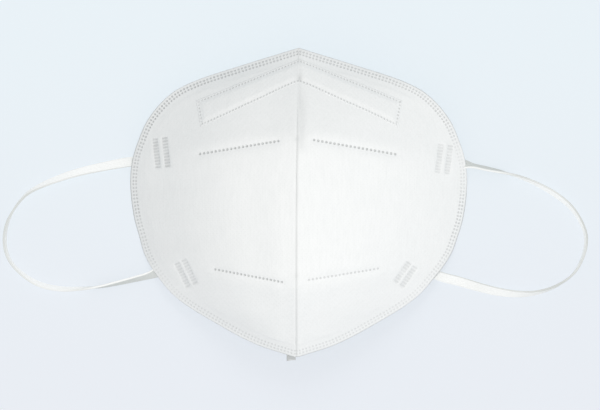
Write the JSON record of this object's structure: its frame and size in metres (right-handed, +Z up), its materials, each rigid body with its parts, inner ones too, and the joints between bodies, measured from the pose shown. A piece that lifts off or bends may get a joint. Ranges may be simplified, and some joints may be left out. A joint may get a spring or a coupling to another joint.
{
  "type": "disposable respirator",
  "caption": "Folding cup respirator of welded nonwoven cloth with a front crease, a nose strip and flat elastic ear loops, opened up and resting on its rim.",
  "frame": {"origin": "on the table, under the middle of the mask's own box, without the ear loops", "axes": "+Z up out of the front of the mask, +Y towards the nose, +X towards the wearer's left"},
  "size_m": [0.2925, 0.157, 0.0606],
  "materials": {
    "nonwoven_cloth": "matte spunbond nonwoven",
    "elastic": "matte knitted elastic"
  },
  "bodies": {
    "root": {"panel_left": "nonwoven_cloth", "panel_right": "nonwoven_cloth", "centre_seam": "nonwoven_cloth", "nose_strip": "nonwoven_cloth", "ear_loop_left": "elastic", "ear_loop_right": "elastic"}
  },
  "joints": []
}
